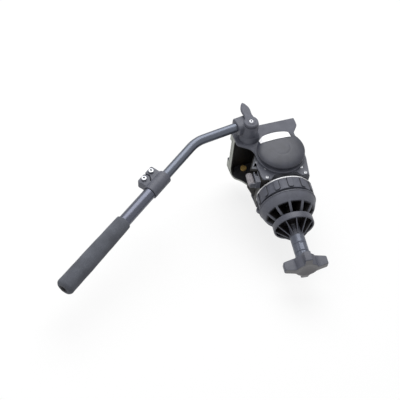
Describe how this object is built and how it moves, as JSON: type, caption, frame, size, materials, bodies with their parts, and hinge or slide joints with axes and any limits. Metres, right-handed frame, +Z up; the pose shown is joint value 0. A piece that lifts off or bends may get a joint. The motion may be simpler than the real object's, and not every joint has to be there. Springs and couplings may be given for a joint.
{
  "type": "fluid video head",
  "caption": "Fluid video head with half-ball base, finned tie-down, tilting saddle and a bent telescoping pan bar.",
  "frame": {"origin": "centre of the half ball's sphere, on the pan axis", "axes": "+Z up along the pan axis, +X to the front of the camera, -Y the side with the domed cap"},
  "size_m": [0.4523, 0.154, 0.3125],
  "materials": {
    "painted_casting": "dark grey crackle paint on cast aluminium",
    "black_plastic": "moulded glass-filled nylon, fine texture",
    "anodised_tube": "black anodised, satin",
    "foam": "closed-cell foam, matt",
    "steel": "zinc plated",
    "brass": "turned",
    "label": "white polyester label, blank",
    "rubber": "matt",
    "level_glass": "clear vial with yellow-green fluid"
  },
  "bodies": {
    "base": {"half_ball": "painted_casting", "tie_down_stud": "steel", "pan_spindle": "steel", "pan_bearing": "steel", "pan_drag_cartridge": "painted_casting"},
    "pan_body": {"body_housing": "painted_casting", "near_side_cover": "painted_casting", "far_side_cover": "painted_casting", "near_side_cover_screw_1": "steel", "near_side_cover_screw_2": "steel", "near_side_cover_screw_3": "steel", "near_side_cover_screw_4": "steel", "far_side_cover_screw_1": "steel", "far_side_cover_screw_2": "steel", "far_side_cover_screw_3": "steel", "pan_index_ring": "steel", "near_tilt_bearing": "steel", "far_tilt_bearing": "steel", "tilt_drag_cartridge": "painted_casting", "counterbalance_spring": "steel", "level_holder": "painted_casting", "level_vial": "level_glass", "rear_bracket": "painted_casting", "pan_lock_housing": "painted_casting"},
    "pan_drag_dial": {"pan_drag_ring": "black_plastic"},
    "pan_lock": {"pan_lock_wheel": "black_plastic"},
    "tilt_lock": {"tilt_lock_lever": "black_plastic"},
    "saddle_body": {"saddle": "painted_casting", "tilt_shaft": "steel", "near_hub_cap": "black_plastic", "side_label": "label", "near_rosette": "painted_casting", "far_rosette": "painted_casting", "rosette_insert": "brass"},
    "tilt_drag": {"tilt_drag_dial": "black_plastic"},
    "plate_body": {"camera_plate": "painted_casting", "plate_pad": "rubber", "locating_pin": "steel"},
    "camera_screw_body": {"camera_screw": "steel"},
    "plate_lock": {"plate_lock_lever": "black_plastic"},
    "plate_release": {"plate_release_button": "black_plastic"},
    "handle": {"bar_clamp_block": "painted_casting", "clamp_bolt": "steel", "pan_bar": "anodised_tube"},
    "handle_tube": {"bar_collar": "painted_casting", "collar_screw_1": "steel", "collar_screw_2": "steel", "outer_tube": "anodised_tube", "foam_grip": "foam", "grip_end_cap": "rubber"},
    "handle_lever": {"clamp_lever": "black_plastic", "lever_screw": "steel"},
    "dish": {"clamp_dish": "black_plastic"},
    "knob": {"tie_down_knob": "black_plastic", "knob_sleeve": "anodised_tube", "tie_down_nut": "steel"}
  },
  "joints": [
    {"name": "pan", "type": "hinge", "parent": "base", "child": "pan_body", "pos_m": [0, 0, 0], "axis": [0, 0, 1], "continuous": true},
    {"name": "pan_drag", "type": "hinge", "parent": "pan_body", "child": "pan_drag_dial", "pos_m": [0, 0, 0.008], "axis": [0, 0, 1], "range_deg": [-140, 140]},
    {"name": "pan_lock_turn", "type": "hinge", "parent": "pan_body", "child": "pan_lock", "pos_m": [-0.0594, -0.02925, 0.036], "axis": [0, 0, 1], "range_deg": [0, 150]},
    {"name": "tilt_lock_turn", "type": "hinge", "parent": "pan_body", "child": "tilt_lock", "pos_m": [-0.0334, 0.0512, 0.0262], "axis": [0, 1, 0], "range_deg": [0, 45]},
    {"name": "tilt", "type": "hinge", "parent": "pan_body", "child": "saddle_body", "pos_m": [0, 0, 0.07], "axis": [0, -1, 0], "range_deg": [-86.8, 58.2]},
    {"name": "tilt_drag_turn", "type": "hinge", "parent": "saddle_body", "child": "tilt_drag", "pos_m": [0, 0.057, 0.07], "axis": [0, 1, 0], "range_deg": [0, 270]},
    {"name": "plate_slide", "type": "slide", "parent": "saddle_body", "child": "plate_body", "axis": [0.993, 0, 0.1184], "range_m": [-0.025, 0.025]},
    {"name": "camera_screw_slide", "type": "slide", "parent": "plate_body", "child": "camera_screw_body", "axis": [0.993, 0, 0.1184], "range_m": [-0.021, 0.021]},
    {"name": "plate_lock_turn", "type": "hinge", "parent": "saddle_body", "child": "plate_lock", "pos_m": [0.01238, 0.0535, 0.13512], "axis": [0, 1, 0], "range_deg": [0, 90]},
    {"name": "plate_release_press", "type": "slide", "parent": "saddle_body", "child": "plate_release", "axis": [0, -1, 0], "range_m": [0, 0.0025], "stiffness_N_per_m": 200, "springref_m": -0.001},
    {"name": "handle_angle", "type": "hinge", "parent": "saddle_body", "child": "handle", "pos_m": [-0.04602, -0.072, 0.11386], "axis": [0, 1, 0], "range_deg": [-45, 100]},
    {"name": "handle_lever_turn", "type": "hinge", "parent": "handle", "child": "handle_lever", "pos_m": [-0.04602, -0.087, 0.11386], "axis": [0, -1, 0], "range_deg": [-50, 50]},
    {"name": "handle_extend", "type": "slide", "parent": "handle", "child": "handle_tube", "axis": [-0.7071, 0, -0.7071], "range_m": [-0.025, 0.08]},
    {"name": "dish_slide", "type": "slide", "parent": "base", "child": "dish", "axis": [0, 0, -1], "range_m": [0, 0.01]},
    {"name": "tie_down_turn", "type": "hinge", "parent": "dish", "child": "knob", "pos_m": [0, 0, -0.12], "axis": [0, 0, -1], "range_deg": [0, 2400]}
  ],
  "couplings": [
    {"joint": "dish_slide", "follows": "tie_down_turn", "m_per_rad": 0.00023873}
  ]
}
